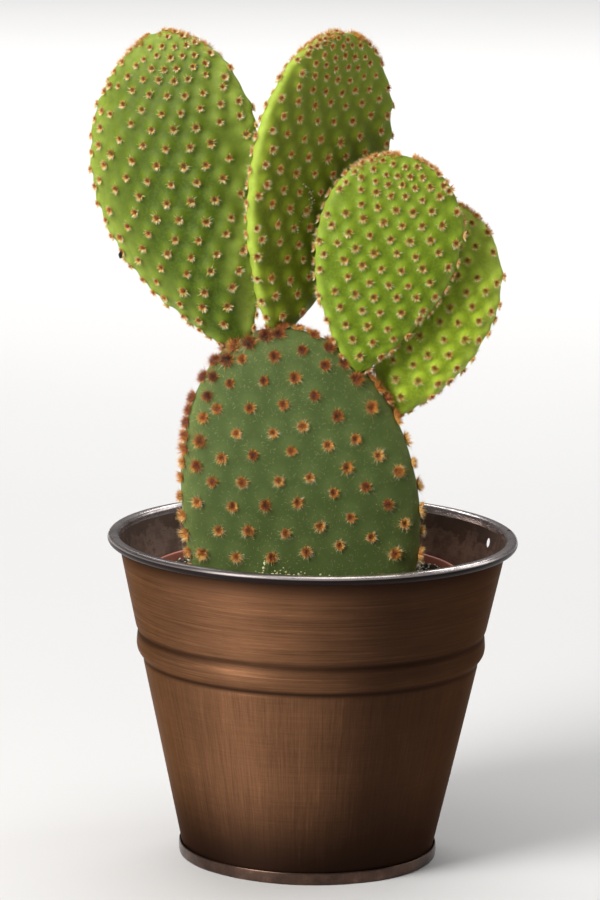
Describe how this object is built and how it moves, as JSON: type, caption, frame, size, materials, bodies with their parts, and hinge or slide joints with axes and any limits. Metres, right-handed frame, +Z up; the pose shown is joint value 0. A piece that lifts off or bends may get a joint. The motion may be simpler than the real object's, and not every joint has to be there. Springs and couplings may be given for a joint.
{
  "type": "potted paddle cactus",
  "caption": "Bunny-ear prickly pear with flat spotted pads, growing in a plastic nursery pot that stands in a tapered copper-finish metal bucket.",
  "frame": {"origin": "centre of the bucket's underside, on the surface it stands on", "axes": "+Z up along the bucket's axis, -Y the plant's front, +X to the right when the front is faced"},
  "size_m": [0.1365, 0.13, 0.2631],
  "materials": {
    "bucket_copper": "satin",
    "pot_plastic": "matte",
    "potting_mix": "matte",
    "root_bark": "matte",
    "old_pad_skin": "satin",
    "young_pad_skin": "satin",
    "areole_wool": "matte",
    "mineral_grit": "matte"
  },
  "bodies": {
    "root": {"bucket_wall": "bucket_copper", "bucket_base": "bucket_copper", "nursery_pot": "pot_plastic", "soil": "potting_mix", "roots": "root_bark", "basal_pad": "old_pad_skin", "left_pad": "young_pad_skin", "middle_pad": "young_pad_skin", "right_front_pad": "young_pad_skin", "right_rear_pad": "young_pad_skin"}
  },
  "joints": []
}
